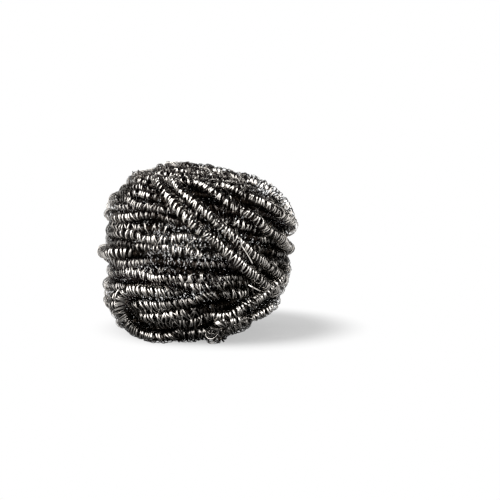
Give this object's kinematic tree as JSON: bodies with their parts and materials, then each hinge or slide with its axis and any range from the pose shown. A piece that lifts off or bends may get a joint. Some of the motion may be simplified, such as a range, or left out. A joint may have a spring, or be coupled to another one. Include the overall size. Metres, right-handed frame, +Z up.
{
  "type": "scouring pad",
  "caption": "Kitchen scourer: a squat round wad of springy flat steel wire, curled into coiled strands and wound round in rows with loops crossing over, for scrubbing pots and pans.",
  "frame": {"origin": "middle of the flat spot under the wad, where the winding axis meets the surface that it stands on", "axes": "+Z up along the winding axis, -Y towards the side that shows best, +X towards the side where the rows draw together"},
  "size_m": [0.073, 0.0739, 0.0638],
  "materials": {
    "bright_steel_wire": "bright drawn flat wire, glossy"
  },
  "bodies": {
    "root": {"wound_steel_wad": "bright_steel_wire"}
  },
  "joints": []
}
